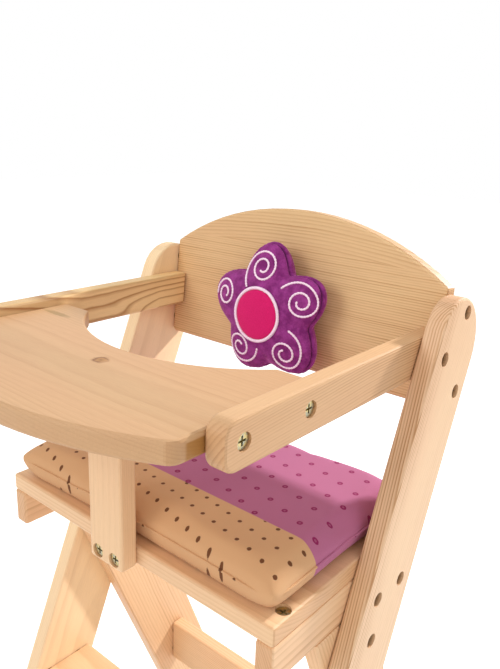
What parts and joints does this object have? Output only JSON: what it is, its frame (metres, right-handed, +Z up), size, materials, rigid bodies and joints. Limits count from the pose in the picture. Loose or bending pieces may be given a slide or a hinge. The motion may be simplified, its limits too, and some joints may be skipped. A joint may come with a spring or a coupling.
{
  "type": "doll high chair",
  "caption": "Wooden high chair for dolls with crossed legs, a hollowed tray, an arched backrest, a loose seat cushion and a pull-off flower pillow.",
  "frame": {"origin": "centre of the chair's bounding box on the floor plane", "axes": "+Z up, the chair faces -Y, and +X is to the right of someone who faces its tray"},
  "size_m": [0.265, 0.3138, 0.5321],
  "materials": {
    "pine": "clear satin varnish over pine boards",
    "beech": "plain turned dowel",
    "zinc_steel": "yellow zinc plated steel",
    "pink_cloth": "printed cotton, filled with wadding",
    "purple_velour": "short velour, filled with wadding",
    "pink_felt": "felt",
    "white_thread": "thick embroidery thread",
    "fastening_tape": "hook and loop tape"
  },
  "bodies": {
    "frame": {"front_leg_left": "pine", "front_leg_right": "pine", "rear_leg_left": "pine", "rear_leg_right": "pine", "arm_rail_left": "pine", "arm_rail_right": "pine", "seat_rail_left": "pine", "seat_rail_right": "pine", "backrest": "pine", "tray": "pine", "seat_board": "pine", "crotch_slat": "pine", "footrest": "pine", "rear_stretcher": "pine", "slat_dowel": "beech", "tray_screw_1": "zinc_steel", "tray_screw_2": "zinc_steel", "tray_screw_3": "zinc_steel", "tray_screw_4": "zinc_steel", "arm_rail_screw_1": "zinc_steel", "arm_rail_screw_2": "zinc_steel", "backrest_screw_1": "zinc_steel", "backrest_screw_2": "zinc_steel", "backrest_screw_3": "zinc_steel", "backrest_screw_4": "zinc_steel", "seat_rail_screw_1": "zinc_steel", "seat_rail_screw_2": "zinc_steel", "seat_rail_screw_3": "zinc_steel", "seat_rail_screw_4": "zinc_steel", "rear_leg_screw_1": "zinc_steel", "rear_leg_screw_2": "zinc_steel", "rear_leg_screw_3": "zinc_steel", "rear_leg_screw_4": "zinc_steel", "footrest_screw_1": "zinc_steel", "footrest_screw_2": "zinc_steel", "footrest_screw_3": "zinc_steel", "footrest_screw_4": "zinc_steel", "stretcher_screw_1": "zinc_steel", "stretcher_screw_2": "zinc_steel", "stretcher_screw_3": "zinc_steel", "stretcher_screw_4": "zinc_steel", "seat_board_screw_1": "zinc_steel", "seat_board_screw_2": "zinc_steel", "seat_board_screw_3": "zinc_steel", "seat_board_screw_4": "zinc_steel", "slat_screw_1": "zinc_steel", "slat_screw_2": "zinc_steel", "pillow_hook_tape": "fastening_tape"},
    "cushion": {"seat_cushion": "pink_cloth"},
    "pillow": {"flower_pillow": "purple_velour", "centre_patch": "pink_felt", "patch_ring": "white_thread", "pillow_loop_tape": "fastening_tape"}
  },
  "joints": [
    {"name": "seat_cushion_lift", "type": "slide", "parent": "frame", "child": "cushion", "axis": [0, 0, 1], "range_m": [0, 0.03]},
    {"name": "pillow_pull_off", "type": "slide", "parent": "frame", "child": "pillow", "axis": [0, -0.9962, 0.0872], "range_m": [0, 0.06]}
  ]
}
